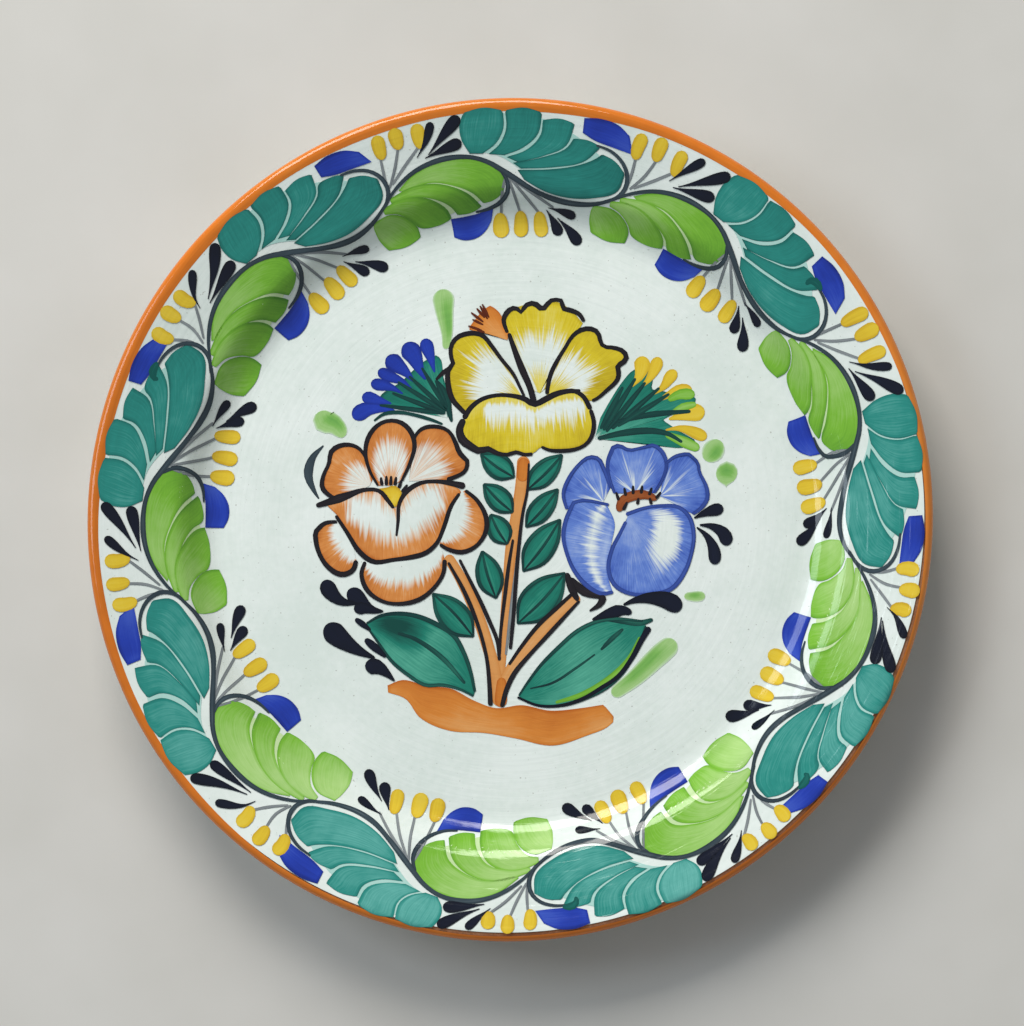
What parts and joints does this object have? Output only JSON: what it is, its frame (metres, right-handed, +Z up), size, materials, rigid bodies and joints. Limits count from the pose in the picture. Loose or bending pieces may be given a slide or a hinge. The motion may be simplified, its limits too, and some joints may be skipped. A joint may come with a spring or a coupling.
{
  "type": "hand painted ceramic plate",
  "caption": "Round rimmed earthenware plate on a foot ring, white glazed and hand painted, with a coloured lip, for serving or display.",
  "frame": {"origin": "centre of the foot ring, on the plane that it stands on", "axes": "+Z up, along the axis that the plate is round about; +Y towards the top of the painted bouquet and +X to its right"},
  "size_m": [0.3, 0.3, 0.0287],
  "materials": {
    "bare_clay": "matt, fine grained, unglazed",
    "white_glaze": "glossy, opaque, faintly mottled",
    "ochre_glaze": "glossy, brushed on by hand",
    "teal_paint": "brushed pigment, fired into the glaze",
    "green_paint": "brushed pigment, fired into the glaze",
    "cobalt_paint": "brushed pigment, fired into the glaze",
    "yellow_paint": "brushed pigment, fired into the glaze",
    "black_paint": "brushed pigment, fired into the glaze"
  },
  "bodies": {
    "root": {"clay_body": "bare_clay", "face_glaze": "white_glaze", "back_glaze": "white_glaze", "foot_well_glaze": "white_glaze", "rim_band": "ochre_glaze"}
  },
  "joints": []
}
